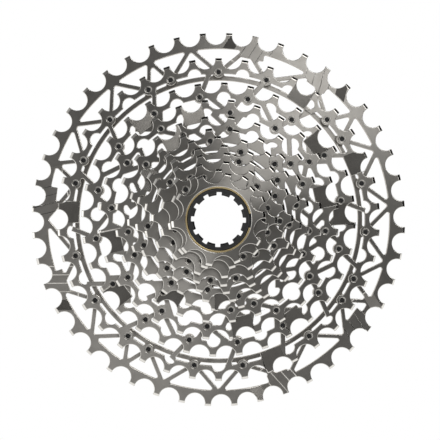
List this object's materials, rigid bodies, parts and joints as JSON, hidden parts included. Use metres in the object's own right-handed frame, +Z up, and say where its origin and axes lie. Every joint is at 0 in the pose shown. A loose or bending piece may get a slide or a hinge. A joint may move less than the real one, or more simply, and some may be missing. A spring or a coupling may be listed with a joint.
{
  "type": "bicycle cassette",
  "caption": "Stepped stack of pinned chain cogs on a splined sleeve, with a notched lock tube that turns in its centre.",
  "frame": {"origin": "centre of the driver bore, in the plane of the largest cog's rear face", "axes": "+Y along the axis, out of the driver bore towards the hub; the smallest cog faces -Y; +Z up"},
  "size_m": [0.1818, 0.0413, 0.1818],
  "materials": {
    "nickel_steel": "satin nickel plate on stamped and machined steel",
    "large_cog": "satin nickel plate on machined steel",
    "pin_steel": "turned and riveted steel with dark dimples",
    "sleeve_steel": "turned steel",
    "black_anodised": "black hard anodised",
    "brass_ring": "gold coloured spring ring"
  },
  "bodies": {
    "cassette": {"cog_44": "large_cog", "cog_38": "nickel_steel", "cog_32": "nickel_steel", "cog_28": "nickel_steel", "cog_24": "nickel_steel", "cog_21": "nickel_steel", "cog_19": "nickel_steel", "cog_17": "nickel_steel", "cog_15": "nickel_steel", "cog_13": "nickel_steel", "cog_11": "nickel_steel", "cog_10": "nickel_steel", "pins_38_44": "pin_steel", "pins_32_38": "pin_steel", "pins_28_32": "pin_steel", "pins_24_28": "pin_steel", "pins_21_24": "pin_steel", "pins_19_21": "pin_steel", "pins_17_19": "pin_steel", "pins_15_17": "pin_steel", "pins_13_15": "pin_steel", "driver_sleeve": "sleeve_steel", "retaining_ring": "brass_ring"},
    "lock_tube": {"lock_tube": "black_anodised"}
  },
  "joints": [
    {"name": "lock_tube_turn", "type": "hinge", "parent": "cassette", "child": "lock_tube", "pos_m": [0, 0, 0], "axis": [0, 1, 0], "continuous": true}
  ]
}
